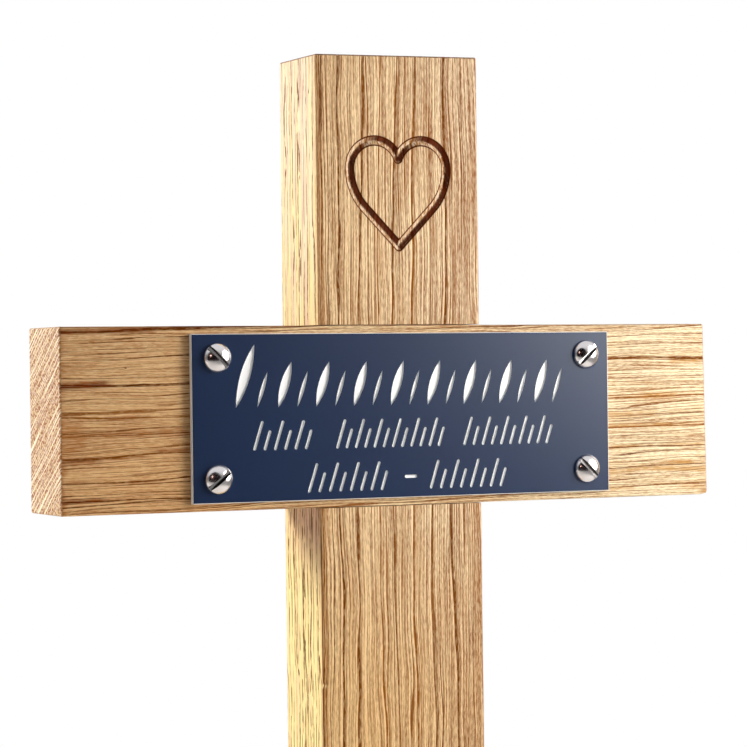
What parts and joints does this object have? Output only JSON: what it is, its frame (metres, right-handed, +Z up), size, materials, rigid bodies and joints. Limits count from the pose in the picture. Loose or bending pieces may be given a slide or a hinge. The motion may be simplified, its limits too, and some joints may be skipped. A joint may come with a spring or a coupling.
{
  "type": "pet memorial cross",
  "caption": "Upright oak cross of two halved boards for setting in the ground, with a carved heart and an engraved navy plaque screwed to the crossbar.",
  "frame": {"origin": "the middle of the post's foot, where it is cut off flat at the ground", "axes": "+Z up along the post, the front with the plaque and the heart faces -Y, +X along the crossbar to the right seen from the front"},
  "size_m": [0.176, 0.0254, 0.3003],
  "materials": {
    "post_oak": "planed oak, clear satin finish, vertical grain",
    "crossbar_oak": "planed oak, clear satin finish, grain along the bar",
    "navy_laminate": "two-layer engraving laminate, satin navy skin over a white core",
    "bright_screw": "polished bright metal"
  },
  "bodies": {
    "root": {"upright_post": "post_oak", "crossbar": "crossbar_oak", "plaque": "navy_laminate", "screw_upper_left": "bright_screw", "screw_upper_right": "bright_screw", "screw_lower_left": "bright_screw", "screw_lower_right": "bright_screw"}
  },
  "joints": []
}
